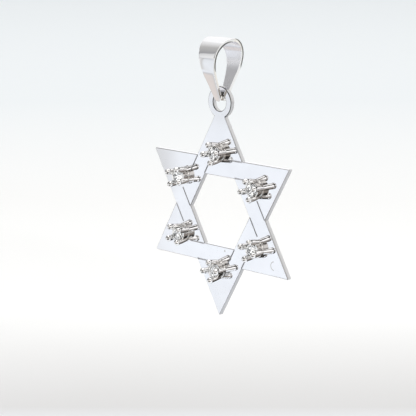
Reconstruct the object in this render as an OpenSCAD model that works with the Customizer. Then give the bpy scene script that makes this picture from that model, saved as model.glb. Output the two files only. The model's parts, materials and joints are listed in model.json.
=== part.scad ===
// Six-pointed star pendant of two interlaced triangles, with six small stones
// in claw settings and a folded tapered bail. Millimetres, front faces -Y, Z up.
// The origin is where the neck chain bears: the inside top of the bail.

/* [Star plate] */
// centre of the star to the point of a tip
star_r = 10.5; // [8:0.25:16]
// width of the flat bands of both triangles
band_w = 1.8; // [1.4:0.1:2.4]
// thickness of the plate
plate_t = 0.5; // [0.4:0.05:0.7]
// how much of each sharp tip is worn or filed away
tip_cut = 0.12; // [0.05:0.01:0.4]
// width of the cut lines that make the bands look interlaced
line_w = 0.14; // [0.1:0.02:0.3]
// depth of the cut lines
line_d = 0.13; // [0.05:0.01:0.2]
// bare metal left at both ends of a cut line
line_stop = 0.04; // [0.02:0.01:0.1]

/* [Eyelet] */
// outer radius of the flat eyelet at the top tip
eyelet_r = 1.54; // [1.4:0.02:1.9]
// radius of the hole in the eyelet
eyelet_hole_r = 0.86; // [0.8:0.01:1.1]
// height of the eyelet hole above the top tip
eyelet_lift = 0.14; // [0:0.02:0.6]

/* [Claw settings] */
// distance of each setting from the centre of the star
setting_at = 5.78; // [5.5:0.02:6.4]
// radius of the cup where it is soldered to the plate
cup_foot_r = 0.74; // [0.6:0.01:0.8]
// radius of the cup at its rim, under the girdle of the stone
cup_rim_r = 0.84; // [0.78:0.01:0.92]
// height of the cup over the plate
cup_h = 0.76; // [0.6:0.01:0.8]
// radius of the round wire of a claw
claw_r = 0.26; // [0.18:0.01:0.28]
// radius of the rounded bead at the end of a claw
bead_r = 0.29; // [0.22:0.01:0.32]
// how far from the setting's axis a claw starts
claw_foot_at = 0.69; // [0.55:0.01:0.75]
// how far from the setting's axis its bead stands
claw_tip_at = 0.87; // [0.8:0.01:0.95]
// height of the bead's centre over the plate
claw_tip_h = 1.34; // [1.1:0.02:1.5]
// number of claws in a setting
claws = 4; // [3:1:6]
// turn of the claws in each setting, clockwise from the top one
claw_turns = [9, 15, 72, 6, 34, 60]; // [0:1:90]

/* [Stones] */
// girdle radius of the round stones
stone_r = 0.65; // [0.55:0.01:0.68]
// height of the girdle over the plate
girdle_at = 0.8; // [0.75:0.01:0.9]
// thickness of the girdle
girdle_t = 0.04; // [0.02:0.01:0.06]
// table width as a part of the stone's width
table_part = 0.57; // [0.5:0.01:0.65]
// slope of the main crown facets
crown_deg = 34; // [30:1:38]
// slope of the main pavilion facets
pavilion_deg = 41; // [38:1:42]
// clear space left around each stone
stone_gap = 0.03; // [0.02:0.01:0.04]

/* [Bail] */
// thickness of the bail's band
bail_t = 0.3; // [0.25:0.01:0.4]
// radius of the round top, to the middle of the band
bail_round = 1.85; // [1.7:0.01:2.2]
// radius of the gentler bend from the round top into the sloping sides
bail_bend = 3.5; // [2.5:0.1:4]
// slope of the sides, from the vertical
bail_deg = 26; // [22:1:30]
// overall height of the bail
bail_h = 6.05; // [5.9:0.01:6.2]
// width of the band over the top
bail_top_w = 3.36; // [2.8:0.02:4]
// width of the band at the soldered ends
bail_end_w = 0.8; // [0.6:0.02:0.86]
// height of the solder that joins the two ends
bail_solder = 0.38; // [0.3:0.02:0.6]
// clear space between that solder and the eyelet that hangs over it
hang_gap = 0.33; // [0.25:0.01:0.5]

/* [Hidden] */
$fn = 64;
e = 0.1;
metal = [0.87, 0.88, 0.9];
clear_white = [0.95, 0.97, 1];

// bail, seen from the side
top_z = -(bail_round - bail_t / 2);
bend_z = top_z - bail_bend * sin(bail_deg);
end_z = bail_t - bail_h;
solder_z = end_z + bail_solder;
side_len = (bend_z - end_z) / cos(bail_deg);
arc_len = bail_bend * PI * bail_deg / 180;
band_len = side_len + arc_len + bail_round * PI / 2;

// star, hung from the bail
eyelet_z = solder_z + hang_gap - eyelet_hole_r;
star_z = eyelet_z - star_r - eyelet_lift;
inner_a = star_r / 2 - band_w;
front = -plate_t / 2;
setting_angles = [90, 30, -30, -90, -150, 150];

// stone, in its own frame with the table up
table_r = stone_r * table_part;
crown_h = (stone_r - table_r) * tan(crown_deg);
pavilion_h = stone_r * tan(pavilion_deg);
star_tip_r = (table_r + (stone_r - table_r) * 0.5) / cos(22.5);
star_tip_h = crown_h - (star_tip_r * cos(22.5) - table_r) * tan(crown_deg);
lower_r = stone_r * 0.3 / cos(22.5);
lower_h = (stone_r - lower_r * cos(22.5)) * tan(pavilion_deg);

// outline of the plate: one triangle over another, with the eyelet on the top tip
module triangle(turn) {
    polygon([for (k = [0:2]) [star_r * cos(turn + 120 * k), star_r * sin(turn + 120 * k)]]);
}

module middle_opening() {
    polygon([for (k = [0:5]) [inner_a / cos(30) * cos(60 * k), inner_a / cos(30) * sin(60 * k)]]);
}

module plate_outline() {
    difference() {
        union() {
            intersection() {
                union() {
                    triangle(90);
                    triangle(-90);
                }
                circle(r = star_r - tip_cut);
            }
            translate([0, star_r + eyelet_lift]) circle(r = eyelet_r);
        }
        middle_opening();
        translate([0, star_r + eyelet_lift]) circle(r = eyelet_hole_r);
    }
}

// one cut line that ends at x, just inside the edge of the upper band at height z
module cut_line(x, z, side) {
    translate([x - line_stop, front, z])
        rotate([0, -90, 0])
            linear_extrude(band_w / cos(30) - 2 * line_stop)
                polygon([[0, -e], [0, 0], [side * line_w / 2, line_d], [side * line_w, 0],
                    [side * line_w, -e]]);
}

// the two cut lines where the top band passes over the band beside it
module crossing() {
    cut_line(star_r / 2 * tan(30), star_r / 2, -1);
    cut_line(inner_a * tan(30) + band_w / cos(30), inner_a, 1);
}

// space around a stone, in the frame of its setting
module stone_seat() {
    lift = stone_gap / cos(pavilion_deg);
    rotate_extrude()
        polygon([
            [0, -girdle_t / 2 - pavilion_h - lift],
            [stone_r + stone_gap, -girdle_t / 2 + stone_gap * tan(pavilion_deg) - lift],
            [stone_r + stone_gap, girdle_t / 2 + stone_gap * 0.4],
            [table_r + stone_gap, girdle_t / 2 + crown_h + stone_gap * 0.6],
            [0, girdle_t / 2 + crown_h + stone_gap * 0.6]
        ]);
}

// claw leaning out from the foot of its cup
module claw() {
    reach = claw_tip_at - claw_foot_at;
    translate([claw_foot_at, 0, 0])
        rotate([0, atan(reach / claw_tip_h), 0])
            translate([0, 0, -e])
                cylinder(r = claw_r, h = norm([reach, claw_tip_h]) + e);
    translate([claw_tip_at, 0, claw_tip_h]) sphere(r = bead_r);
}

// cup with claws, standing on the plate
module setting(turn) {
    difference() {
        union() {
            translate([0, 0, -e]) cylinder(r = cup_foot_r, h = e * 2);
            cylinder(r1 = cup_foot_r, r2 = cup_rim_r, h = cup_h);
            for (k = [0:claws - 1]) rotate(turn + k * 360 / claws) claw();
        }
        translate([0, 0, girdle_at]) stone_seat();
    }
}

// puts a thing that stands on the plate at one of the six places
module at_place(k) {
    translate([setting_at * cos(setting_angles[k]), front, star_z + setting_at * sin(setting_angles[k])])
        rotate([90, 0, 0]) children();
}

// plate, eyelet and the six settings soldered on it
module star() color(metal) {
    translate([0, 0, star_z])
        difference() {
            translate([0, plate_t / 2, 0]) rotate([90, 0, 0]) linear_extrude(plate_t) plate_outline();
            for (k = [0:5]) rotate([0, 60 * k, 0]) crossing();
        }
    for (k = [0:5]) at_place(k) setting(claw_turns[k]);
}

// round brilliant: table, 8 star, 8 main and 16 upper facets, girdle,
// 16 lower and 8 main facets below, down to a point
function ring_at(r, h, n, start) =
    [for (k = [0:n - 1]) [r * cos(start + 360 / n * k), r * sin(start + 360 / n * k), h]];
function turned_over(f) = [for (k = [len(f) - 1:-1:0]) f[k]];

module brilliant() {
    up = girdle_t / 2;
    points = concat(
        ring_at(table_r, up + crown_h, 8, 0),
        ring_at(star_tip_r, up + star_tip_h, 8, 22.5),
        ring_at(stone_r, up, 16, 0),
        ring_at(stone_r, -up, 16, 0),
        ring_at(lower_r, -up - lower_h, 8, 22.5),
        [[0, 0, -up - pavilion_h]]);
    faces = concat(
        [[for (k = [0:7]) k]],
        [for (k = [0:7]) [k, 8 + k, (k + 1) % 8]],
        [for (k = [0:7]) [k, 8 + (k + 7) % 8, 16 + 2 * k, 8 + k]],
        [for (k = [0:7]) [8 + k, 16 + 2 * k, 17 + 2 * k]],
        [for (k = [0:7]) [8 + k, 17 + 2 * k, 16 + (2 * k + 2) % 16]],
        [for (k = [0:15]) [16 + k, 32 + k, 32 + (k + 1) % 16, 16 + (k + 1) % 16]],
        [for (k = [0:7]) [32 + 2 * k, 48 + k, 33 + 2 * k]],
        [for (k = [0:7]) [33 + 2 * k, 48 + k, 32 + (2 * k + 2) % 16]],
        [for (k = [0:7]) [32 + 2 * k, 48 + (k + 7) % 8, 56, 48 + k]]);
    polyhedron(points, [for (f = faces) turned_over(f)]);
}

module stone(k) color(clear_white) {
    at_place(k) translate([0, 0, girdle_at]) rotate(claw_turns[k] + 10 * k) brilliant();
}

// side view of the bail's band, grown or shrunk from its middle line:
// a round top, a gentler bend on both sides, and sides that slope to a point
module side_shape(grow) {
    round_steps = 24;
    bend_steps = 12;
    round_r = bail_round + grow;
    bend_r = bail_bend + grow;
    half = concat(
        [for (k = [1:round_steps]) let (a = 90 - 90 * k / round_steps)
            [round_r * cos(a), top_z + round_r * sin(a)]],
        [for (k = [1:bend_steps]) let (a = bail_deg * k / bend_steps)
            [bail_round - bail_bend + bend_r * cos(a), top_z - bend_r * sin(a)]]);
    low = half[len(half) - 1];
    polygon(concat([[0, top_z + round_r]], half, [[0, low[1] - low[0] / tan(bail_deg)]],
        [for (p = turned_over(half)) [-p[0], p[1]]]));
}

module side_view() {
    wide = 2 * bail_round + 2;
    intersection() {
        difference() {
            side_shape(bail_t / 2);
            intersection() {
                side_shape(-bail_t / 2);
                translate([-wide / 2, solder_z]) square([wide, bail_h]);
            }
        }
        translate([-wide / 2, end_z]) square([wide, bail_h + 1]);
    }
}

// height and half width of the band, a given way along it from its end
function band_z(s) =
    s < side_len ? end_z + s * cos(bail_deg)
    : s < side_len + arc_len
        ? top_z - bail_bend * sin(bail_deg - (s - side_len) / bail_bend * 180 / PI)
    : top_z + bail_round * sin((s - side_len - arc_len) / bail_round * 180 / PI);
function band_half(s) = bail_end_w / 2 + (bail_top_w - bail_end_w) / 2 * pow(s / band_len, 1.5);

module front_view() {
    steps = 22;
    from = bail_end_w / 2;
    way = [for (k = [0:steps]) from + (band_len - from) * k / steps];
    half = concat([for (s = way) [band_half(s), band_z(s)]], [[bail_top_w / 2, bail_t + e]]);
    polygon(concat(half, [for (p = turned_over(half)) [-p[0], p[1]]]));
    translate([0, band_z(from)]) circle(r = band_half(from));
}

// tapered band folded over, its two ends soldered together
module bail() color(metal) {
    $fn = 128;
    intersection() {
        rotate([90, 0, 90]) linear_extrude(bail_top_w + 1, center = true) side_view();
        rotate([90, 0, 0]) linear_extrude(2 * bail_round + 2, center = true) front_view();
    }
}

bail();
star();
stone(0);  // stone_top
stone(1);  // stone_upper_right
stone(2);  // stone_lower_right
stone(3);  // stone_bottom
stone(4);  // stone_lower_left
stone(5);  // stone_upper_left
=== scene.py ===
# %% [markdown]
# # A star pendant in polished white metal
# The pendant is a flat six-pointed star cut from sheet. Shallow cut lines make its two triangles
# look woven. Six small stones stand in claw settings, and a folded band, the bail, carries it all.
# The exact solids come first. The visible metal is then modelled again over them, because a
# polished piece is read by its rounded edges and its reflections, which plain solids don't have.

import json
import math

import bpy
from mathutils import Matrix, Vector


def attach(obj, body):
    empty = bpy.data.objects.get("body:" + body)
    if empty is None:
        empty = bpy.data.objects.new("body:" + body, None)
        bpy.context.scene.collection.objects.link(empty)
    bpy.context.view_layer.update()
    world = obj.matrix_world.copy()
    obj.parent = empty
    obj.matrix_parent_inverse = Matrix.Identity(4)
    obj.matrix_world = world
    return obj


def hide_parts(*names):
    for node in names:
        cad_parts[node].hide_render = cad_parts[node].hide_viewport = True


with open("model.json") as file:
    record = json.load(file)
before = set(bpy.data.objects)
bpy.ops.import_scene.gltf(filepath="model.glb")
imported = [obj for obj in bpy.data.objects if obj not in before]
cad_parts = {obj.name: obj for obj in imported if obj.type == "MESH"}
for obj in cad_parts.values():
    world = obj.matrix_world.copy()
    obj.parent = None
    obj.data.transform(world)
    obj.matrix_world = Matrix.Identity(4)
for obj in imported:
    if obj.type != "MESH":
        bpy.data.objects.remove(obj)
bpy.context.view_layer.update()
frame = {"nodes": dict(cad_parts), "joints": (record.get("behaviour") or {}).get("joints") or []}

# %% [markdown]
# ## Sizes
# Blender works in metres, and a jeweller in millimetres, so one factor turns one into the other.
# The sizes of the piece are those of the solids. The height of the eyelet is read from the
# frame's own joint, so the star can't drift away from the point it swings on.

# %% Sizes of the star
mm = 0.001
star_r = 10.5 * mm
band_w = 1.8 * mm
plate_t = 0.5 * mm
tip_cut = 0.12 * mm
half_tip = math.radians(30)
line_w = 0.14 * mm
line_d = 0.13 * mm
line_stop = 0.04 * mm
eyelet_r = 1.54 * mm
eyelet_hole_r = 0.86 * mm
eyelet_lift = 0.14 * mm
eyelet_z = frame["joints"][0]["pos_m"][2]
star_z = eyelet_z - eyelet_lift - star_r
inner_a = star_r / 2 - band_w
front = -plate_t / 2
print("centre of the star", round(star_z / mm, 3), "mm, eyelet", round(eyelet_z / mm, 3), "mm")

# %% [markdown]
# The six settings stand on one circle, one at the root of each point of the star. A setting is
# a cup, four claws and the beads at their ends.

# %% Sizes of the settings
setting_at = 5.78 * mm
setting_angles = {
    "top": 90,
    "upper_right": 30,
    "lower_right": -30,
    "bottom": -90,
    "lower_left": -150,
    "upper_left": 150,
}
claw_turns = {
    "top": 9,
    "upper_right": 15,
    "lower_right": 72,
    "bottom": 6,
    "lower_left": 34,
    "upper_left": 60,
}
cup_foot_r = 0.74 * mm
cup_rim_r = 0.84 * mm
cup_h = 0.76 * mm
claw_r = 0.26 * mm
bead_r = 0.29 * mm
claw_foot_at = 0.69 * mm
claw_tip_at = 0.87 * mm
claw_tip_h = 1.34 * mm
places = {
    name: (
        setting_at * math.cos(math.radians(a)),
        star_z + setting_at * math.sin(math.radians(a)),
    )
    for name, a in setting_angles.items()
}
print("settings at", {n: [round(c / mm, 2) for c in p] for n, p in places.items()})

# %% [markdown]
# The stones are round brilliants. The settings need only their outline: the width, the girdle
# round the middle, the flat table on top and the slope of the pavilion below.

# %% Sizes of the stones
stone_r = 0.65 * mm
stone_gap = 0.03 * mm
girdle_at = 0.8 * mm
girdle_t = 0.04 * mm
table_r = 0.37 * mm
crown_h = 0.188 * mm
pavilion = math.radians(41)
print("stones", round(2 * stone_r / mm, 2), "mm, table", round(2 * table_r / mm, 2), "mm")

# %% [markdown]
# Seen from the side, the bail is a drop: a round top, a gentle bend and two straight sides that
# meet below. The round top has its centre at the height top_z. The bend runs from there down to
# the point bend_y, bend_z, where the straight side begins.

# %% Sizes of the bail
bail_t = 0.3 * mm
bail_round = 1.85 * mm
bail_bend = 3.5 * mm
bail_slope = math.radians(26)
bail_h = 6.05 * mm
bail_top_w = 3.36 * mm
bail_end_w = 0.8 * mm
bail_solder = 0.38 * mm
top_z = -(bail_round - bail_t / 2)
bend_y = -(bail_round - bail_bend * (1 - math.cos(bail_slope)))
bend_z = top_z - bail_bend * math.sin(bail_slope)
end_z = bail_t - bail_h
print("bail", round((bail_t - end_z) / mm, 2), "mm high")

# %% [markdown]
# ## Hands for modelling
# An operator in Blender acts on whatever is selected, and the import leaves its nodes selected.
# So everything is deselected first, and each step then picks its own object, faces or edges.
# A modifier is applied as soon as it is set, and a boolean's cutter is then thrown away.


# %% Picking objects and applying modifiers
def nothing_picked():
    if bpy.context.object and bpy.context.object.mode != "OBJECT":
        bpy.ops.object.mode_set(mode="OBJECT")
    bpy.ops.object.select_all(action="DESELECT")


def pick(piece):
    nothing_picked()
    piece.select_set(True)
    bpy.context.view_layer.objects.active = piece
    return piece


def finish_modifier(piece, kind, **settings):
    pick(piece)
    modifier = piece.modifiers.new(kind.title(), kind)
    for name, value in settings.items():
        setattr(modifier, name, value)
    bpy.ops.object.modifier_apply(modifier=modifier.name)
    return piece


def carve(piece, tool, operation="DIFFERENCE"):
    finish_modifier(piece, "BOOLEAN", operation=operation, solver="EXACT", object=tool)
    bpy.data.objects.remove(tool)
    return piece


def choose_verts(piece, test):
    """Enters edit mode with only those vertices selected that pass the test."""
    pick(piece)
    bpy.ops.object.mode_set(mode="EDIT")
    bpy.ops.mesh.select_mode(type="VERT")
    bpy.ops.mesh.select_all(action="DESELECT")
    bpy.ops.object.mode_set(mode="OBJECT")
    for v in piece.data.vertices:
        v.select = bool(test(v.co))
    bpy.ops.object.mode_set(mode="EDIT")


# %% [markdown]
# ## Closing a mesh
# A boolean can leave two points where there should be one, and a spin can turn a shape inside
# out. So each mesh is welded and its faces are turned outwards before it goes on. At the end a
# piece's place is put into its mesh, and weighted normals keep the large polished faces flat
# while the narrow rounds beside them shade smoothly.

# %% Welding, placing and shading
one_point = 0.0005 * mm


def weld_and_face_out(piece, weld=one_point):
    pick(piece)
    bpy.ops.object.mode_set(mode="EDIT")
    bpy.ops.mesh.select_all(action="SELECT")
    bpy.ops.mesh.remove_doubles(threshold=weld)
    bpy.ops.mesh.normals_make_consistent(inside=False)
    bpy.ops.object.mode_set(mode="OBJECT")
    return piece


def settle(piece, name):
    """Puts a piece's place into its mesh, and names it."""
    pick(piece)
    bpy.ops.object.transform_apply(location=True, rotation=True, scale=True)
    piece.name = piece.data.name = name
    return piece


def polish_shading(piece, sharp_deg):
    """Smooth over small angles, with large flat faces kept truly flat."""
    pick(piece)
    bpy.ops.object.shade_smooth_by_angle(angle=math.radians(sharp_deg))
    return finish_modifier(piece, "WEIGHTED_NORMAL", keep_sharp=True, weight=50)


print("points nearer than", round(one_point / mm, 4), "mm become one")

# %% [markdown]
# ## The star plate
# The real star is one sheet, not two triangles. So two three-sided prisms are joined, their
# points are filed back a little by a round cutter, and a six-sided prism opens the middle.
# A disc on the top point makes the eyelet. Cylinder primitives give all of these, because a
# cylinder with three or six sides is a prism.


# %% A prism or disc that lies in the plate
def in_plate(sides, radius, z=star_z, turn=0.0, depth=plate_t):
    nothing_picked()
    bpy.ops.mesh.primitive_cylinder_add(
        vertices=sides,
        radius=radius,
        depth=depth,
        location=(0, 0, z),
        rotation=(math.radians(90), math.radians(turn), 0),
    )
    return bpy.context.object


ring_sides, file_sides = 96, 120
print("a round hole has", ring_sides, "sides, the filed points follow", file_sides)

# %% Cutting out the star
right_through = 4 * plate_t
plate = in_plate(3, star_r)
carve(plate, in_plate(3, star_r, turn=180), "UNION")
carve(plate, in_plate(file_sides, star_r - tip_cut, depth=right_through), "INTERSECT")
carve(plate, in_plate(ring_sides, eyelet_r, eyelet_z), "UNION")
carve(plate, in_plate(6, inner_a / math.cos(half_tip), turn=30, depth=right_through))
carve(plate, in_plate(ring_sides, eyelet_hole_r, eyelet_z, depth=right_through))
print("plate", len(plate.data.polygons), "faces")

# %% [markdown]
# ## Soft edges
# A polishing wheel rounds every edge by nearly a tenth of a millimetre. Those narrow rounds
# catch the light and draw the fine lines round the star. A bevel modifier rounds the edges that
# turn by more than 70 degrees, so the rims of both faces. The corners of the outline turn by 60
# degrees and stay sharp, which leaves room for the round at the narrow tips. Before it, corners
# that almost touch are welded and faces that lie in one plane are joined, so that no hidden edge
# is left for the bevel to find. Clamping is off, because it would narrow the whole round to suit
# the shortest edge of the eyelet.

# %% Rounding the outline
edge_round = 0.09 * mm
almost_touching = 0.02 * mm
rim_turn = math.radians(70)
one_plane = math.radians(1)
weld_and_face_out(plate, weld=almost_touching)
bpy.ops.object.mode_set(mode="EDIT")
bpy.ops.mesh.select_all(action="SELECT")
bpy.ops.mesh.dissolve_limited(angle_limit=one_plane)
finish_modifier(
    plate,
    "BEVEL",
    width=edge_round,
    segments=4,
    limit_method="ANGLE",
    angle_limit=rim_turn,
    use_clamp_overlap=False,
)
print("rounded plate", len(plate.data.polygons), "faces")

# %% [markdown]
# ## The cut lines
# Where one band seems to pass over another, the maker scored a V-shaped line along both edges of
# the upper band. Each band goes over on one side and under on the other, so the same pair of
# lines repeats six times round the star. A four-sided prism, pressed flat and laid half in the
# plate, is the cutter.


# %% Scoring the twelve lines
def scoring_tool(middle_x, z, length, turn):
    nothing_picked()
    c, s = math.cos(turn), math.sin(turn)
    bpy.ops.mesh.primitive_cylinder_add(
        vertices=4,
        radius=1,
        depth=length,
        location=(middle_x * c + z * s, front, star_z - middle_x * s + z * c),
        rotation=(0, math.radians(90) + turn, 0),
    )
    tool = bpy.context.object
    tool.scale = (line_w / 2, line_d, 1)
    bpy.ops.object.transform_apply(location=True, rotation=True, scale=True)
    return tool


line_len = band_w / math.cos(half_tip) - 2 * line_stop
outer_end = star_r / 2 * math.tan(half_tip)
inner_end = inner_a * math.tan(half_tip) + band_w / math.cos(half_tip)
line_ends = (outer_end, star_r / 2 - line_w / 2), (inner_end, inner_a + line_w / 2)
for k in range(6):
    for end_x, z in line_ends:
        middle_x = end_x - line_stop - line_len / 2
        carve(plate, scoring_tool(middle_x, z, line_len, math.radians(60 * k)))
weld_and_face_out(plate)
settle(plate, "star_plate")
polish_shading(plate, 35)
print("scored plate", len(plate.data.polygons), "faces")

# %% [markdown]
# ## Turned pieces
# The cup under a stone, and each claw, are round. A lathe would turn them, and here a disc is
# drawn up ring by ring: each step pulls the top face up and sizes it to the next radius.


# %% A piece drawn up from a disc
def turned(profile, sides):
    """profile is (height, radius) in millimetres, from the foot up."""
    nothing_picked()
    at, r = profile[0]
    bpy.ops.mesh.primitive_circle_add(
        vertices=sides, radius=r * mm, fill_type="NGON", location=(0, 0, at * mm)
    )
    piece = bpy.context.object
    bpy.ops.object.transform_apply(location=True)
    bpy.ops.object.mode_set(mode="EDIT")
    bpy.ops.mesh.select_all(action="SELECT")
    for height, radius in profile[1:]:
        bpy.ops.mesh.extrude_region_move(
            TRANSFORM_OT_translate={"value": (0, 0, (height - at) * mm)}
        )
        k = radius / r
        bpy.ops.transform.resize(value=(k, k, 1), center_override=(0, 0, height * mm))
        at, r = height, radius
    bpy.ops.object.mode_set(mode="OBJECT")
    return weld_and_face_out(piece)


cup_sides, claw_sides, burr_sides = 48, 20, 64
print("sides of cup, claw and burr", cup_sides, claw_sides, burr_sides)

# %% [markdown]
# ## The cup of a setting
# A setting is a cup with four wires round it, soldered to the plate. Solder draws up into the
# corner between cup and plate, so the foot flares out in a hollow curve. The profile therefore
# adds a flare to the first rings, and ends in a rim whose corner is broken.

# %% The cup with its solder
under_plate = -0.1
foot, rim, cup_top = cup_foot_r / mm, cup_rim_r / mm, cup_h / mm
solder_flare = [
    (under_plate, 0.14),
    (0.0, 0.14),
    (0.012, 0.09),
    (0.035, 0.05),
    (0.075, 0.022),
    (0.13, 0.004),
]
clear_of_solder = 0.3
rim_low = 0.04
rim_corner = 0.012
rim_top_in = 0.035
cup_lid_r = 0.4


def cup_side_r(height):
    return foot + (rim - foot) * max(height, 0) / cup_top


cup_profile = [(height, cup_side_r(height) + flare) for height, flare in solder_flare]
cup_profile += [
    (clear_of_solder, cup_side_r(clear_of_solder)),
    (cup_top - rim_low, rim - rim_corner),
    (cup_top - rim_corner, rim - rim_corner),
    (cup_top, rim - rim_top_in),
    (cup_top, cup_lid_r),
]
setting = turned(cup_profile, cup_sides)
print("cup", len(setting.data.polygons), "faces")

# %% [markdown]
# ## The claws
# Each claw leans out and ends in a rounded bead over the edge of the stone. Beside the
# photograph a claw of even thickness looked thin, so it grows a little fuller on its way up. One
# is turned for each of the four places, and a union joins it to the cup.

# %% The four claws
claw_count = 4
lean = math.atan((claw_tip_at - claw_foot_at) / claw_tip_h)
claw_len = math.hypot(claw_tip_at - claw_foot_at, claw_tip_h) / mm
fuller_neck, fuller_bead = 0.035, 0.025
wire = claw_r / mm
neck = wire + fuller_neck
bead = bead_r / mm + fuller_bead
neck_deg = -math.degrees(math.acos(neck / bead))
claw_profile = [
    (under_plate, wire),
    (claw_len * 0.25, wire + 0.02),
    (claw_len * 0.5, neck),
    (claw_len * 0.75, neck),
]
for deg in [neck_deg, *range(-20, 81, 12), 86]:
    a = math.radians(deg)
    claw_profile.append((claw_len + bead * math.sin(a), bead * math.cos(a)))
for k in range(claw_count):
    claw = turned(claw_profile, claw_sides)
    turn = math.radians(360 / claw_count * k)
    claw.rotation_euler = (0, lean, turn)
    claw.location = (claw_foot_at * math.cos(turn), claw_foot_at * math.sin(turn), 0)
    carve(setting, claw, "UNION")
print("cup and claws", len(setting.data.polygons), "faces")

# %% [markdown]
# ## The seat
# A setter cuts the seat into cup and claws at once with a burr that has the stone's own shape.
# The burr here is the stone's profile with a small clear space all round, so the finished metal
# never touches the facets.

# %% Cutting the seat for the stone
lift = stone_gap / math.cos(pavilion)
seat_r = (stone_r + stone_gap) / mm
girdle_low, girdle_top = girdle_at - girdle_t / 2, girdle_at + girdle_t / 2
seat_edge = (girdle_low - lift + stone_gap * math.tan(pavilion)) / mm
seat_point = (girdle_low - lift - stone_r * math.tan(pavilion)) / mm
burr_tip = 0.002
burr = turned(
    [
        (seat_point, burr_tip),
        (seat_edge, seat_r),
        ((girdle_top + 0.4 * stone_gap) / mm, seat_r),
        ((girdle_top + crown_h + 0.6 * stone_gap) / mm, (table_r + stone_gap) / mm),
    ],
    burr_sides,
)
carve(setting, burr)
weld_and_face_out(setting)
polish_shading(setting, 40)
print("one setting", len(setting.data.polygons), "faces")

# %% [markdown]
# ## Six settings
# One setting is modelled and copied six times, each copy with a mesh of its own. The real ones
# don't all stand alike, so each copy gets a turn of its own.

# %% Placing the settings
settings = {}
for name, (x, z) in places.items():
    copy = setting.copy()
    copy.data = setting.data.copy()
    bpy.context.scene.collection.objects.link(copy)
    pick(copy)
    copy.rotation_euler = (0, 0, math.radians(claw_turns[name]))
    bpy.ops.object.transform_apply(rotation=True)
    copy.rotation_euler = (math.radians(90), 0, 0)
    copy.location = (x, front, z)
    settings[name] = settle(copy, "setting_" + name)
bpy.data.objects.remove(setting)
print("settings", sorted(settings))

# %% [markdown]
# ## The bail
# A goldsmith cuts a tapered strip, bends it round a rod and solders its two ends together
# through the eyelet. The same is done here with half the strip: a flat grid is the sloping
# part, a spin round a far centre bends it gently up, and a second, tighter spin goes over the
# top. The strip is straight-sided so far.

# %% Bending half of the strip
rows, columns = 36, 12
bend_steps, round_steps = 12, 24
strip_half = 1 * mm
a_hair = 0.0001 * mm
side_len = (bend_z - end_z) / math.cos(bail_slope)
foot_y = bend_y + (bend_z - end_z) * math.tan(bail_slope)
nothing_picked()
bpy.ops.mesh.primitive_grid_add(
    x_subdivisions=columns,
    y_subdivisions=rows,
    size=1,
    location=(0, (foot_y + bend_y) / 2, (end_z + bend_z) / 2),
    rotation=(math.radians(90) + bail_slope, 0, 0),
)
bail = bpy.context.object
bail.scale = (2 * strip_half, side_len, 1)
bpy.ops.object.transform_apply(location=True, rotation=True, scale=True)


def bend_on(steps, angle, centre):
    """Spins the highest row of the strip on round a centre."""
    row_z = max(v.co.z for v in bail.data.vertices)
    choose_verts(bail, lambda co: co.z > row_z - a_hair)
    bpy.ops.mesh.spin(steps=steps, angle=angle, center=centre, axis=(1, 0, 0))
    bpy.ops.object.mode_set(mode="OBJECT")
    return max(v.co.z for v in bail.data.vertices)


bent_z = bend_on(bend_steps, bail_slope, (0, bail_bend - bail_round, top_z))
print("after the first bend", round(bent_z / mm, 3), "mm, should be", round(top_z / mm, 3))
bend_on(round_steps, math.radians(90), (0, 0, top_z))
weld_and_face_out(bail)
print("half strip", [round(c / mm, 3) for c in bail.dimensions])

# %% [markdown]
# ## The taper
# The band is widest over the top and narrows in a soft curve to its ends, which are rounded.
# Each row of the grid is drawn to the width that belongs to its way along the strip. Beating
# and polishing also leave the band slightly crowned, so the edges of the wide rows drop inwards
# by a few hundredths of a millimetre. That bends the reflections as on the real band.

# %% How wide the band is, and which way it faces
arc_len = bail_bend * bail_slope
band_len = side_len + arc_len + bail_round * math.pi / 2
edge_drop = 0.05 * mm


def way_along(y, z):
    """How far a point of the strip is from its soldered end, along the strip."""
    if z < bend_z + a_hair:
        return (z - end_z) / math.cos(bail_slope)
    if z < top_z:
        turn = math.atan2(z - top_z, bail_bend - bail_round - y)
        return side_len + bail_bend * (turn + bail_slope)
    return side_len + arc_len + bail_round * math.atan2(z - top_z, -y)


def half_width(way):
    round_end = bail_end_w / 2
    full = round_end + (bail_top_w - bail_end_w) / 2 * (max(way, 0) / band_len) ** 1.5
    if way < round_end:
        full = math.sqrt(max(full**2 - (round_end - way) ** 2, (0.1 * mm) ** 2))
    return full


def outwards(y, z):
    """The direction that the outside of the strip faces."""
    if z < bend_z + a_hair:
        return Vector((0, -math.cos(bail_slope), -math.sin(bail_slope)))
    if z < top_z:
        return Vector((0, y - bail_bend + bail_round, z - top_z)).normalized()
    return Vector((0, y, z - top_z)).normalized()


def drop_at(half):
    """How far the edge of a row lies under its middle, for a row of this half width."""
    return edge_drop * (2 * half / bail_top_w) ** 1.5


print("half the band is", round(band_len / mm, 2), "mm long")

# %% Drawing each row to its width
levels = {}
for v in bail.data.vertices:
    levels.setdefault((round(v.co.y / mm, 3), round(v.co.z / mm, 3)), []).append(v.index)
for indices in levels.values():
    co = bail.data.vertices[indices[0]].co
    half = half_width(way_along(co.y, co.z))
    edge_way = -outwards(co.y, co.z) * drop_at(half)
    for i in indices:
        v = bail.data.vertices[i]
        part = v.co.x / strip_half
        v.co.x = part * half
        v.co += edge_way * abs(part) ** 3
print("rows", len(levels), "widest", round(max(v.co.x for v in bail.data.vertices) / mm, 3))

# %% [markdown]
# ## The band closed
# The back half of the band is the front half mirrored, and the two meet at the top. The strip
# then gets its thickness, half to each side, and its long edges are rounded by hand-polishing,
# a little more than those of the plate.

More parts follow.
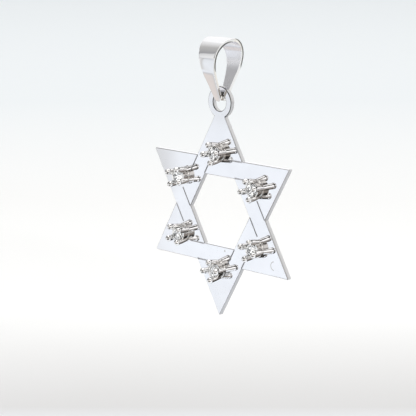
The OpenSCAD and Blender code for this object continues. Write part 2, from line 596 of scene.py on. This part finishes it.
# %% Closing and thickening the band
band_round = 0.1 * mm
finish_modifier(
    bail, "MIRROR", use_axis=(False, True, False), merge_threshold=0.002 * mm
)
weld_and_face_out(bail)
finish_modifier(bail, "SOLIDIFY", thickness=bail_t, offset=0, use_even_offset=True)
finish_modifier(
    bail, "BEVEL", width=band_round, segments=4, limit_method="ANGLE", angle_limit=math.radians(50)
)
print("band", len(bail.data.polygons), "faces", [round(c / mm, 2) for c in bail.dimensions])

# %% [markdown]
# ## The solder in the fold
# A drop of solder fills the narrow gap where the two ends meet. It is an oval plug that widens
# upwards between the sloping sides, and a union makes it one piece with the band.

# %% The solder
solder_z = end_z + bail_solder
solder_middle = end_z + bail_solder / 2
solder_lift = 0.03 * mm
solder_half_x, solder_half_y = 0.36 * mm, 0.2 * mm
widened = (1.05, 1.55, 1)
nothing_picked()
bpy.ops.mesh.primitive_cylinder_add(
    vertices=32, radius=1, depth=bail_solder, location=(0, 0, solder_middle + solder_lift)
)
solder = bpy.context.object
solder.scale = (solder_half_x, solder_half_y, 1)
bpy.ops.object.transform_apply(location=True, scale=True)
choose_verts(solder, lambda co: co.z > solder_middle)
bpy.ops.transform.resize(value=widened, center_override=(0, 0, solder_z))
bpy.ops.object.mode_set(mode="OBJECT")
carve(bail, solder, "UNION")
weld_and_face_out(bail)
settle(bail, "bail_band")
polish_shading(bail, 40)
print("bail", len(bail.data.polygons), "faces")

# %% [markdown]
# ## Hands for materials
# A finish is a small net of nodes. A few helpers make the nodes that come up again and again: a
# value spread between two limits, a sum, a mix of two colours and a ramp of tones. Each takes
# sockets or plain numbers, and gives back the socket to go on from.


# %% Nodes made by hand
def add(nodes, kind, **values):
    """A new node. A value goes to the input of that name, or else to the node's own setting."""
    node = nodes.new(kind)
    for name, value in values.items():
        label = name.replace("_", " ")
        if label in node.inputs:
            node.inputs[label].default_value = value
        else:
            setattr(node, name, value)
    return node


def spread(tree, value, low, high, at_low=0.0, at_high=1.0):
    """Turns low to high of a value into at_low to at_high, and holds it beyond them."""
    steps = add(
        tree.nodes, "ShaderNodeMapRange", From_Min=low, From_Max=high, To_Min=at_low, To_Max=at_high
    )
    tree.links.new(value, steps.inputs["Value"])
    return steps.outputs["Result"]


def reckon(tree, operation, *values):
    node = add(tree.nodes, "ShaderNodeMath", operation=operation)
    for socket, value in zip(node.inputs, values):
        if isinstance(value, (int, float)):
            socket.default_value = value
        else:
            tree.links.new(value, socket)
    return node.outputs["Value"]


def mixed(tree, by, first, second):
    """The first colour where by is 0, and the second where it is 1."""
    node = add(tree.nodes, "ShaderNodeMix", data_type="RGBA")
    for socket, colour in ((node.inputs[6], first), (node.inputs[7], second)):
        if isinstance(colour, tuple):
            socket.default_value = colour + (1,)
        else:
            tree.links.new(colour, socket)
    tree.links.new(by, node.inputs["Factor"])
    return node.outputs[2]


def tones(tree, value, stops):
    """A colour ramp over a value, with stops of (position, colour)."""
    node = tree.nodes.new("ShaderNodeValToRGB")
    ramp = node.color_ramp
    while len(ramp.elements) < len(stops):
        ramp.elements.new(0.5)
    for element, (position, colour) in zip(ramp.elements, stops):
        element.position = position
        element.color = colour + (1,)
    tree.links.new(value, node.inputs["Fac"])
    return node.outputs["Color"]


print("materials so far", len(bpy.data.materials))

# %% [markdown]
# ## Polishing marks
# Even a polished face is never perfect. Buffing leaves a faint waviness and fine hairlines, and
# handling adds a haze that makes the gloss uneven and the tone a little cloudy. One node group
# draws these for every metal finish here. It puts out a roughness, a normal and a tone, and each
# material chooses how strong they are.

# %% The node group for polishing marks
marks = bpy.data.node_groups.new("polishing_marks", "ShaderNodeTree")
marks_inputs = {"Smooth": 0.04, "Haze": 0.1, "Wave": 0.1, "Wave Scale": 230.0, "Hairline": 0.1}
for name, value in marks_inputs.items():
    socket = marks.interface.new_socket(name, in_out="INPUT", socket_type="NodeSocketFloat")
    socket.default_value = value
for name, kind in (("Roughness", "Float"), ("Normal", "Vector"), ("Tone", "Float")):
    marks.interface.new_socket(name, in_out="OUTPUT", socket_type="NodeSocket" + kind)
given = marks.nodes.new("NodeGroupInput").outputs
result = marks.nodes.new("NodeGroupOutput").inputs
on_metal = marks.nodes.new("ShaderNodeTexCoord").outputs["Object"]
print("polishing_marks has", len(given) - 1, "inputs and", len(result) - 1, "outputs")

# %% [markdown]
# A soft noise raises the roughness where it is high, and a second one gives the tone.

# %% Haze and cloudy tone
haze_from, haze_to = 0.42, 0.72
cloud_from, cloud_to = 0.35, 0.65
haze = add(marks.nodes, "ShaderNodeTexNoise", Scale=420.0, Detail=4.0, Roughness=0.6)
marks.links.new(on_metal, haze.inputs["Vector"])
dull = spread(marks, haze.outputs["Fac"], haze_from, haze_to)
hazy = reckon(marks, "MULTIPLY", dull, given["Haze"])
marks.links.new(reckon(marks, "ADD", hazy, given["Smooth"]), result["Roughness"])
cloud = add(marks.nodes, "ShaderNodeTexNoise", Scale=260.0, Detail=3.0)
marks.links.new(on_metal, cloud.inputs["Vector"])
marks.links.new(spread(marks, cloud.outputs["Fac"], cloud_from, cloud_to), result["Tone"])
print("haze and tone", len(marks.nodes), "nodes")

# %% [markdown]
# Waves are a round noise, and hairlines are one stretched into threads by a mapping node. Both
# only tilt the surface by a bump, one after the other, so no mesh is needed for them.

# %% Waves and hairlines
wave_depth, hair_depth = 0.02 * mm, 0.001 * mm
hair_way, hair_scale = (0, math.radians(38), 0), (500, 500, 14000)
stretch = add(marks.nodes, "ShaderNodeMapping", Rotation=hair_way, Scale=hair_scale)
hairs = add(marks.nodes, "ShaderNodeTexNoise", Scale=1.0, Detail=2.0)
waves = add(marks.nodes, "ShaderNodeTexNoise", Detail=1.0)
wave_bump = add(marks.nodes, "ShaderNodeBump", Distance=wave_depth)
hair_bump = add(marks.nodes, "ShaderNodeBump", Distance=hair_depth)
for source, target in (
    (on_metal, stretch.inputs["Vector"]),
    (stretch.outputs["Vector"], hairs.inputs["Vector"]),
    (on_metal, waves.inputs["Vector"]),
    (given["Wave Scale"], waves.inputs["Scale"]),
    (waves.outputs["Fac"], wave_bump.inputs["Height"]),
    (given["Wave"], wave_bump.inputs["Strength"]),
    (hairs.outputs["Fac"], hair_bump.inputs["Height"]),
    (given["Hairline"], hair_bump.inputs["Strength"]),
    (wave_bump.outputs["Normal"], hair_bump.inputs["Normal"]),
    (hair_bump.outputs["Normal"], result["Normal"]),
):
    marks.links.new(source, target)
print("polishing_marks", len(marks.nodes), "nodes")

# %% [markdown]
# ## Signs of handling
# The star shows wear: a small curved scratch near its lower right point and a fleck on the lower
# band. Soft patches at the upper left, round the eyelet and at the lowest tip are made darker and
# duller as well. A group of nodes measures the distance from each mark and puts out one mask. The
# metal under the mask is a little duller and darker.

# %% The node group for wear
wear = bpy.data.node_groups.new("wear_marks", "ShaderNodeTree")
wear.interface.new_socket("Mask", in_out="OUTPUT", socket_type="NodeSocketFloat")
on_star = wear.nodes.new("ShaderNodeTexCoord").outputs["Object"]


def distance_from(place):
    away = add(wear.nodes, "ShaderNodeVectorMath", operation="DISTANCE")
    away.inputs[1].default_value = place
    wear.links.new(on_star, away.inputs[0])
    return away.outputs["Value"]


def fading(value, near, far, strength=1.0):
    """Full strength up to near, and nothing beyond far."""
    return spread(wear, value, near, far, strength, 0.0)


# The scratch is the left half of a thin ring.
scratch_at, scratch_r = (7.25 * mm, front, -20.754 * mm), 0.416 * mm
off_ring = reckon(wear, "SUBTRACT", distance_from(scratch_at), scratch_r)
ring_line = fading(reckon(wear, "ABSOLUTE", off_ring), 0.03 * mm, 0.07 * mm)
axes = wear.nodes.new("ShaderNodeSeparateXYZ")
wear.links.new(on_star, axes.inputs["Vector"])
left_half = fading(axes.outputs["X"], scratch_at[0] - 0.06 * mm, scratch_at[0])
mask = reckon(wear, "MULTIPLY", ring_line, left_half)
dulled_places = {
    "fleck": ((0.752 * mm, front, -20.362 * mm), 0.06 * mm, 0.14 * mm, 1.0),
    "upper left": ((-8.2 * mm, front, -13.4 * mm), 0.2 * mm, 3.4 * mm, 0.4),
    "eyelet": ((0, front, eyelet_z), 1.4 * mm, 3.2 * mm, 0.24),
    "lowest tip": ((0, front, -26.9 * mm), 0.5 * mm, 5.0 * mm, 0.22),
}
for place, near, far, strength in dulled_places.values():
    mask = reckon(wear, "MAXIMUM", mask, fading(distance_from(place), near, far, strength))
wear.links.new(mask, wear.nodes.new("NodeGroupOutput").inputs["Mask"])
print("wear_marks", len(wear.nodes), "nodes, places", list(dulled_places))

# %% [markdown]
# ## White gold
# All the metal is one alloy, bright and slightly cool. What differs is how far each surface was
# finished, and where light and shade are painted into a finish's colour, so one recipe makes every
# finish: a colour, a roughness and the strength of the polishing marks. The wear and the darker
# patches, and the painted dark line along the bail's rim, are added afterwards to the one finish
# that shows them.


# %% A metal with its marks
def metal(name, base, smooth, haze_amount, wave, hairline, wave_scale=230.0):
    material = bpy.data.materials.new(name)
    material.use_nodes = True
    tree = material.node_tree
    group = add(
        tree.nodes,
        "ShaderNodeGroup",
        node_tree=marks,
        Smooth=smooth,
        Haze=haze_amount,
        Wave=wave,
        Wave_Scale=wave_scale,
        Hairline=hairline,
    )
    cloudy = tuple(0.95 * c for c in base)
    shader = tree.nodes["Principled BSDF"]
    shader.inputs["Metallic"].default_value = 1.0
    colour = mixed(tree, group.outputs["Tone"], cloudy, base)
    tree.links.new(colour, shader.inputs["Base Color"])
    tree.links.new(group.outputs["Roughness"], shader.inputs["Roughness"])
    tree.links.new(group.outputs["Normal"], shader.inputs["Normal"])
    return material


def wear_down(material, darker, rougher):
    """Makes a finish darker and rougher under the mask of the wear and the darker patches."""
    tree = material.node_tree
    shader = tree.nodes["Principled BSDF"]
    colour, roughness = shader.inputs["Base Color"], shader.inputs["Roughness"]
    worn_mask = add(tree.nodes, "ShaderNodeGroup", node_tree=wear).outputs["Mask"]
    rough = reckon(tree, "MULTIPLY_ADD", worn_mask, rougher, roughness.links[0].from_socket)
    tree.links.new(mixed(tree, worn_mask, colour.links[0].from_socket, darker), colour)
    tree.links.new(rough, roughness)


def shade_rim(material, darker, line_from=0.45, line_to=0.62):
    """Draws a darker line where the piece's attribute rim_shade passes a half."""
    tree = material.node_tree
    colour = tree.nodes["Principled BSDF"].inputs["Base Color"]
    rim = add(tree.nodes, "ShaderNodeAttribute", attribute_name="rim_shade")
    line = spread(tree, rim.outputs["Fac"], line_from, line_to)
    tree.links.new(mixed(tree, line, colour.links[0].from_socket, darker), colour)


print("a metal is made of", marks.name, "and wears", wear.name)

# %% [markdown]
# ## The finishes of the star
# The faces of the sheet are mirror-bright, and its cut sides were only filed, so they are greyer
# and rougher; their grey is partly painted shade. The cut lines are rough and dull too, and their
# dark tone is partly painted shade in the grooves. Thin dark lines run along the rims and are
# darkest round the eyelet, so those rounds have dark finishes, which are painted shade. The four
# level cut lines have a lighter finish of their own, painted light for the light from above that
# falls into them, because otherwise their narrow walls take that of the rims and come out too dark.

# %% The metals of the star
# Each has a name, a colour, a roughness, and how strong haze, waves and hairlines are.
polished = metal("polished_white_gold", (0.945, 0.952, 0.98), 0.03, 0.05, 0.1, 0.12)
wear_down(polished, (0.62, 0.61, 0.6), 0.15)
# Filed and rough, and its grey tone is partly painted shade.
filed_and_shaded = metal("filed_edge_painted_shade", (0.605, 0.603, 0.605), 0.3, 0.15, 0.1, 0.6)
# Rough cut lines, darkened partly by painted shade in the grooves.
scored_and_shaded = metal("scored_line_painted_shade", (0.57, 0.57, 0.58), 0.35, 0.15, 0.1, 0.6)
# Painted light: the level lines are lighter, for the light from above that falls into them.
level_line_painted_light = metal("level_line_painted_light", (0.86, 0.86, 0.87), 0.3, 0.15, 0.1, 0.6)
# Painted shade: the rounds of the rims get a dark colour for the dark they mirror.
dark_rim_paint = metal("painted_dark_rim", (0.3, 0.3, 0.31), 0.15, 0.1, 0.1, 0.3)
# Painted shade: the rounds round the eyelet are painted darkest.
ring_painted_dark = metal("ring_painted_dark", (0.05, 0.05, 0.05), 0.2, 0.1, 0.4, 0.4)
plate_metals = [polished, filed_and_shaded, scored_and_shaded, dark_rim_paint, ring_painted_dark, level_line_painted_light]
print("metals of the star", [m.name for m in plate_metals])

# %% [markdown]
# ## The finishes of the settings
# Claws and beads are shaped by hand, so they are bright but uneven. The cup between them and the
# undersides of the beads have darker, duller finishes, whose dark tone is painted shade. The
# waves are finer than on the star, because the pieces are so small.

# %% The metals of the settings
small_waves = 2600.0
formed = metal("hand_formed", (0.96, 0.955, 0.945), 0.03, 0.08, 0.8, 0.2, small_waves)
cup_painted_shade = metal("cup_painted_shade", (0.56, 0.54, 0.515), 0.12, 0.15, 0.8, 0.4, small_waves)
claw_shade = metal("claw_shade", (0.14, 0.135, 0.13), 0.12, 0.15, 0.8, 0.4, small_waves)
setting_metals = [formed, cup_painted_shade, claw_shade]
print("metals of the settings", [m.name for m in setting_metals])

# %% [markdown]
# ## The finishes of the bail
# The band is bright outside and only brushed inside. The solder low in the fold is painted dark,
# as shade deep in the fold. The narrow edges have a finish of their own with a thin painted dark
# line along it.

# %% The metals of the bail
band = metal("polished_band", (0.87, 0.872, 0.885), 0.03, 0.05, 0.1, 0.12)
brushed = metal("brushed_inside", (0.84, 0.84, 0.87), 0.2, 0.15, 0.1, 1.0)
shaded_solder = metal("solder_painted_shade", (0.2, 0.19, 0.17), 0.2, 0.2, 0.6, 0.3)
edge = metal("band_edge", (0.9, 0.88, 0.84), 0.08, 0.1, 0.3, 0.3)
shade_rim(edge, (0.12, 0.115, 0.11))
bail_metals = [band, brushed, shaded_solder, edge]
print("metals of the bail", [m.name for m in bail_metals])

# %% [markdown]
# ## Which face has which finish
# A jeweller masks a piece before polishing it. Here each face is asked where it lies and which
# way it faces, and gets the finish that belongs there.


# %% Dressing a piece
def dress(piece, finishes, finish_of):
    piece.data.materials.clear()
    for finish in finishes:
        piece.data.materials.append(finish)
    count = dict.fromkeys((finish.name for finish in finishes), 0)
    for f in piece.data.polygons:
        finish = finish_of(f)
        f.material_index = finishes.index(finish)
        count[finish.name] += 1
    print(piece.name, count)


print("to dress", plate.name, sorted(p.name for p in settings.values()), bail.name)

# %% [markdown]
# ## Dressing the plate
# The sides of the sheet face neither front nor back. They are filed, except those that face
# straight up, which are polished with the faces as a painted highlight for the light from above.
# A slanting face just under the front belongs to a cut line or to the round of a rim. The rounds
# that face both up and to the right are left bright as a painted highlight, and the others get
# the dark finish of painted shade.

# %% Dressing the plate
ring_low = eyelet_z - 0.95 * eyelet_r
side_reach = plate_t / 2 - 0.8 * edge_round
under_front = front + 0.005 * mm
cut_wall_area = 0.08 * mm * mm
beside_line = 0.12 * mm
sideways, flat_on, a_little = 0.3, 0.9, 0.1


def in_level_line(co):
    """Tells whether a point lies in one of the four lines that run level."""
    half_round = 1 if co.z > star_z else -1
    x, z = half_round * co.x, half_round * (co.z - star_z)
    return any(
        abs(z - line_z) < beside_line and end_x - line_stop - line_len < x < end_x - line_stop
        for end_x, line_z in line_ends
    )


def plate_finish(f):
    facing_x, facing_y, facing_z = f.normal
    on_ring = f.center.z > ring_low
    in_cut = under_front < f.center.y < front + line_d
    # Sides facing straight up get the polished finish as a painted highlight; the others are filed,
    # partly painted shade.
    if abs(facing_y) < sideways and abs(f.center.y) < side_reach:
        return polished if facing_z > flat_on and not on_ring else filed_and_shaded
    if in_cut and in_level_line(f.center):
        return level_line_painted_light
    if in_cut and f.area > cut_wall_area:
        return scored_and_shaded
    if abs(facing_y) >= flat_on:
        return polished
    # The rounds round the eyelet get the darkest painted shade.
    if on_ring:
        return ring_painted_dark
    # Rounds facing up and right stay polished as a painted highlight; the others get painted shade.
    return polished if facing_x > a_little and facing_z > a_little else dark_rim_paint


dress(plate, plate_metals, plate_finish)

# %% [markdown]
# ## Dressing the settings
# How far a face lies from the setting's axis, how high it is and which way it looks tell the
# cup's wall from the claws, and the undersides of the beads from their tops. These, and the sides
# of the claws that face the stone, get painted shade. The polished plate mirrors these dark faces,
# so the painted shade also draws the mirror image of each setting.

# %% Dressing the settings
wall_in, wall_out = 0.6 * mm, cup_rim_r + 0.04 * mm
over_girdle = 0.86 * mm
wall_slope, downwards, inwards = 0.5, 0.15, 0.45


def setting_finish(x, z):
    """The finish of a face, for the setting whose axis stands at x and z."""

    def finish_of(f):
        from_axis = Vector((f.center.x - x, 0, f.center.z - z))
        height = front - f.center.y
        on_wall = wall_in < from_axis.length < wall_out and abs(f.normal.y) < wall_slope
        under_bead = f.normal.y > downwards
        at_stone = -f.normal.dot(from_axis.normalized()) > inwards and from_axis.length > stone_r
        # The cup's wall, the undersides of the beads and the faces towards the stone get painted
        # shade.
        if on_wall and height < cup_h:
            return cup_painted_shade
        return claw_shade if height > over_girdle and (under_bead or at_stone) else formed

    return finish_of


for name, piece in settings.items():
    dress(piece, setting_metals, setting_finish(*places[name]))

# %% [markdown]
# ## Dressing the bail
# A face of the band is inside when it looks towards the middle of the loop. The lowest of these
# are solder, painted dark as shade in the fold. A face that looks sideways belongs to one of the
# two narrow edges.

# %% Dressing the bail
loop_middle = Vector((0, 0, -2.5 * mm))
solder_reach = end_z + 2.2 * bail_solder
to_middle, to_side = 0.3, 0.2


def bail_finish(f):
    from_middle = f.center - loop_middle
    from_middle.x = 0
    inside = f.normal.dot(from_middle.normalized()) < -to_middle
    if inside and f.center.z < solder_reach:
        return shaded_solder
    if abs(f.normal.x) > to_side:
        return edge
    return brushed if inside else band


dress(bail, bail_metals, bail_finish)

# %% [markdown]
# ## The dark line of the bail's rim
# A painted dark line, standing in for shade, follows one side of the band's edge: the inner side
# on the front half, and the outer side on the back half. It fades out towards the top and towards
# the soldered ends. Where it runs depends on how far a point lies from the middle of the strip,
# which no texture coordinate tells. So that is measured for each vertex and kept in an attribute
# of the mesh, which the edge's material reads.

# %% Measuring the rim
line_low, line_fade = -3.2 * mm, 0.8 * mm
line_rise = 1.2 * mm


def off_strip(x, y, z):
    """How far outside the middle of the strip a point lies, on the front half."""
    if z > top_z:
        off = math.hypot(y, z - top_z) - bail_round
    elif z > bend_z:
        off = math.hypot(y - bail_bend + bail_round, z - top_z) - bail_bend
    else:
        off = Vector((0, y - bend_y, z - bend_z)).dot(outwards(y, z))
    return off + drop_at(abs(x))


rim_shade = bail.data.attributes.new("rim_shade", "FLOAT", "POINT")
for v in bail.data.vertices:
    x, y, z = v.co
    at_back, y = y > 0, -abs(y)
    outer_part = min(max(0.5 + off_strip(x, y, z) / bail_t, 0), 1)
    near_top = 0.5 + (0.5 if at_back else 0.8) * min(1, abs(y) / line_rise)
    above_low = min(max((z - line_low) / line_fade, 0), 1)
    shaded_side = outer_part if at_back else 1 - outer_part
    rim_shade.data[v.index].value = shaded_side * near_top * above_low
dark = sum(point.value > 0.5 for point in rim_shade.data)
print("rim_shade passes a half at", dark, "of", len(rim_shade.data), "vertices")

# %% [markdown]
# ## The stones
# The stones stay as the exact solids, because a cut stone is all flat facets and sharp edges.
# A clear stone bends light strongly, so its index of refraction is that of diamond. Its colour
# is all but white, with the faintest cloud.

# %% Clear stone
stone_material = bpy.data.materials.new("clear_stone")
stone_material.use_nodes = True
tree = stone_material.node_tree
shader = tree.nodes["Principled BSDF"]
shader.inputs["Metallic"].default_value = 0.0
shader.inputs["Roughness"].default_value = 0.0
shader.inputs["IOR"].default_value = 2.42
shader.inputs["Transmission Weight"].default_value = 1.0
faint = add(tree.nodes, "ShaderNodeTexNoise", Scale=1500.0, Detail=2.0)
tree.links.new(tree.nodes.new("ShaderNodeTexCoord").outputs["Object"], faint.inputs["Vector"])
clear = tones(tree, faint.outputs["Fac"], [(0.0, (0.97, 0.975, 0.98)), (1.0, (1.0, 1.0, 1.0))])
tree.links.new(clear, shader.inputs["Base Color"])
stones = [node for name, node in frame["nodes"].items() if name.startswith("stone_")]
for node in stones:
    node.data.materials.clear()
    node.data.materials.append(stone_material)
    for f in node.data.polygons:
        f.use_smooth = False
print(stone_material.name, "on", len(stones), "stones, all facets flat")

# %% [markdown]
# ## Bodies
# The star swings in the bail, so its pieces ride on one body and the bail's band on the other.
# Each new piece takes the place of the plain solid under it.

# %% Riding on the frame
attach(plate, "star")
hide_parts("star")
for piece in settings.values():
    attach(piece, "star")
    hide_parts("star")
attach(bail, "bail")
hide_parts("bail")
print("new pieces", 2 + len(settings))

# %% [markdown]
# ## The floor
# The pendant was photographed hanging in a bright tent. A wide pale floor well below it fills
# the view. A single white would look flat, so its tone changes slowly from the foreground to
# the far side, measured along the way the camera looks.

# %% A pale floor
floor_z = -42 * mm
nothing_picked()
bpy.ops.mesh.primitive_plane_add(size=8, location=(0, 0, floor_z))
floor = bpy.context.object
floor.name = "floor"
floor_material = bpy.data.materials.new("pale_floor")
floor_material.use_nodes = True
tree = floor_material.node_tree
tree.nodes["Principled BSDF"].inputs["Roughness"].default_value = 0.9
camera_looks = (-0.7071, 0.7071, 0)
into_depth = add(tree.nodes, "ShaderNodeVectorMath", operation="DOT_PRODUCT")
into_depth.inputs[1].default_value = camera_looks
tree.links.new(tree.nodes.new("ShaderNodeTexCoord").outputs["Object"], into_depth.inputs[0])
floor_tones = [
    (0.006, (0.93, 0.96, 1.0)),
    (0.016, (0.72, 0.715, 0.71)),
    (0.055, (1.0, 1.0, 0.99)),
    (0.13, (0.92, 0.92, 0.91)),
    (0.27, (0.84, 0.87, 0.885)),
    (0.7, (0.92, 0.96, 0.98)),
]
pale = tones(tree, into_depth.outputs["Value"], floor_tones)
tree.links.new(pale, tree.nodes["Principled BSDF"].inputs["Base Color"])
floor.data.materials.append(floor_material)
print("floor", round(floor_z / mm), "mm, tones", len(floor_tones))

# %% [markdown]
# ## Cards
# A photographer of jewellery puts small cards round the piece to give the metal something to
# mirror. Here a pinkish one lies on the floor at the left, with a small dark one behind it. A
# large dark one lies in front, below the camera, and another stands upright at the left. They
# glow in rings of tone round a centre. Only reflections see them, so they throw no shadow.


# %% A card that only the metal sees
def card(name, width, height, place, rotation, centre, stops):
    nothing_picked()
    bpy.ops.mesh.primitive_grid_add(size=1, location=place, rotation=rotation)
    piece = bpy.context.object
    piece.scale = (width, height, 1)
    bpy.ops.object.transform_apply(location=True, rotation=True, scale=True)
    piece.name = name
    material = bpy.data.materials.new(name)
    material.use_nodes = True
    tree = material.node_tree
    shader = tree.nodes["Principled BSDF"]
    shader.inputs["Base Color"].default_value = (0, 0, 0, 1)
    shader.inputs["Roughness"].default_value = 1.0
    shader.inputs["Emission Strength"].default_value = 1.0
    away = add(tree.nodes, "ShaderNodeVectorMath", operation="DISTANCE")
    away.inputs[1].default_value = centre
    tree.links.new(tree.nodes.new("ShaderNodeTexCoord").outputs["Object"], away.inputs[0])
    glow = tones(tree, away.outputs["Value"], stops)
    tree.links.new(glow, shader.inputs["Emission Color"])
    piece.data.materials.append(material)
    piece.visible_camera = False
    piece.visible_diffuse = False
    piece.visible_shadow = False
    piece.visible_transmission = False
    print(name, round(width, 3), "by", round(height, 3), "m")


# %% Placing the cards
card_z = floor_z + 0.5 * mm
lying = (0, 0, 0)
upright = (math.radians(90), 0, math.radians(90))
pink_tones = [
    (0.0105, (0.84, 0.77, 0.73)),
    (0.013, (0.62, 0.63, 0.65)),
    (0.016, (0.7, 0.71, 0.73)),
    (0.02, (0.95, 0.98, 1.02)),
]
dark_tones = [
    (0.018, (0.01, 0.009, 0.008)),
    (0.023, (0.15, 0.13, 0.11)),
    (0.03, (0.42, 0.38, 0.35)),
    (0.2, (0.34, 0.31, 0.28)),
]
left_tones = [(0.06, (0.05, 0.05, 0.05)), (0.075, (0.4, 0.4, 0.4)), (0.085, (0.95, 0.95, 0.95))]
low_left_tones = [(0.02, (0.06, 0.06, 0.06)), (0.03, (0.4, 0.4, 0.4))]
pink_at, pink_centre = (-0.050, -0.020, card_z), (-0.048, -0.018, card_z)
card("card_pink", 0.044, 0.05, pink_at, lying, pink_centre, pink_tones)
card("card_dark", 0.2, 0.16, (0.075, -0.098, card_z), lying, (0.0, -0.02, card_z), dark_tones)
card("card_left", 0.16, 0.1, (-0.15, 0.01, 0.008), upright, (-0.15, 0.01, 0.0), left_tones)
low_left_at = (-0.0775, 0.0285, card_z)
card("card_low_left", 0.055, 0.045, low_left_at, lying, low_left_at, low_left_tones)

# %% [markdown]
# ## The dome of light
# The sky round the piece is a soft dome. It is brightest high up behind the piece, darkens on
# the way to the front and is pale again low in front. Polished metal only looks like metal when
# it has something darker to mirror, so behind the camera the dome turns into a room with dark
# patches, which a noise texture draws.

# %% Dome and room
world = bpy.data.worlds.new("tent")
bpy.context.scene.world = world
world.use_nodes = True
tent = world.node_tree
look = tent.nodes.new("ShaderNodeTexCoord").outputs["Generated"]


def facing(direction, low, high):
    """How much of the way the ray goes in a direction, spread from low to high."""
    along = add(tent.nodes, "ShaderNodeVectorMath", operation="DOT_PRODUCT")
    along.inputs[1].default_value = direction
    tent.links.new(look, along.inputs[0])
    return spread(tent, along.outputs["Value"], low, high)


def patches(**kind):
    noise = add(tent.nodes, "ShaderNodeTexNoise", **kind)
    tent.links.new(look, noise.inputs["Vector"])
    return noise.outputs["Fac"]


dome_tones = [
    (0.212, (1.12, 1.12, 1.12)),
    (0.222, (0.97, 0.97, 0.97)),
    (0.3, (0.8, 0.795, 0.79)),
    (0.4, (0.54, 0.53, 0.52)),
    (0.5, (0.485, 0.48, 0.475)),
    (0.612, (0.39, 0.39, 0.4)),
    (0.63, (0.74, 0.74, 0.74)),
    (0.72, (0.92, 0.92, 0.92)),
]
room_tones = [
    (0.43, (0.0, 0.0, 0.0)),
    (0.45, (0.2, 0.18, 0.16)),
    (0.5, (0.4, 0.37, 0.34)),
    (0.53, (1.3, 1.28, 1.26)),
]
low_in_front, at_camera = (0, -0.7071, -0.7071), (0.7, -0.7, 0)
dome = tones(tent, facing(low_in_front, -1.0, 1.0), dome_tones)
room = tones(tent, patches(Scale=2.2, Detail=1.5, Distortion=0.4), room_tones)
walls = mixed(tent, facing(at_camera, 0.1, 0.35), dome, room)
print("dome and room", len(tent.nodes), "nodes")

# %% [markdown]
# ## What each ray sees
# A stone gathers light from all sides and breaks it into sparks, so rays that have passed
# through a stone see a sky of small bright and dark patches. Rays that only light the floor see
# an even grey, and the camera sees a pale wall.

# %% The sky for each kind of ray
glitter_tones = [
    (0.38, (0.0, 0.0, 0.0)),
    (0.4, (0.4, 0.38, 0.36)),
    (0.43, (2.4, 2.4, 2.36)),
]
glitter = tones(tent, patches(Scale=5.0, Detail=1.0, Distortion=0.6), glitter_tones)
ray = tent.nodes.new("ShaderNodeLightPath").outputs
in_stones = mixed(tent, ray["Is Transmission Ray"], walls, glitter)
on_floor = mixed(tent, ray["Is Diffuse Ray"], in_stones, (0.55, 0.55, 0.55))
behind = mixed(tent, ray["Is Camera Ray"], on_floor, (0.9, 0.93, 0.93))
sky = tent.nodes["Background"]
sky.inputs["Strength"].default_value = 1.0
tent.links.new(behind, sky.inputs["Color"])
print("tent", len(tent.nodes), "nodes")

# %% [markdown]
# ## Softboxes
# Two large round lamps stand in for the tent's lights. Both hang high up behind the piece and
# shine straight down, as an area lamp does until it is turned. The larger one brightens the
# floor and is hidden from reflections.


# %% Two lamps
def softbox(name, place, size, watts):
    light = bpy.data.lights.new(name, "AREA")
    light.shape = "DISK"
    light.size = size
    light.energy = watts
    lamp = bpy.data.objects.new(name, light)
    bpy.context.scene.collection.objects.link(lamp)
    lamp.location = place
    return lamp


softbox("overhead", (-0.1, 0.1, 0.7), 0.5, 2)
fill = softbox("floor_fill", (-0.25, 0.25, 1.6), 1.4, 4.6)
fill.visible_glossy = False

# %% [markdown]
# ## The camera
# The camera stands to the right of the front and a little above the piece. Its place, turn and
# lens were found by laying the star's straight edges over those in the photograph. Near clipping
# is set close, because the whole scene is small.

# %% The photograph's view
camera = bpy.data.objects.new("camera", bpy.data.cameras.new("camera"))
bpy.context.scene.collection.objects.link(camera)
camera.location = (0.09913, -0.10063, 0.01309)
camera.rotation_euler = [math.radians(a) for a in (78.2668, 0.0273, 45.0786)]
camera.data.sensor_width = 36
camera.data.lens = 128.71
camera.data.clip_start = 0.005
camera.data.clip_end = 50
bpy.context.scene.camera = camera
bpy.context.scene.view_settings.view_transform = "Standard"
print("camera", round(camera.location.length / mm), "mm from the bail")
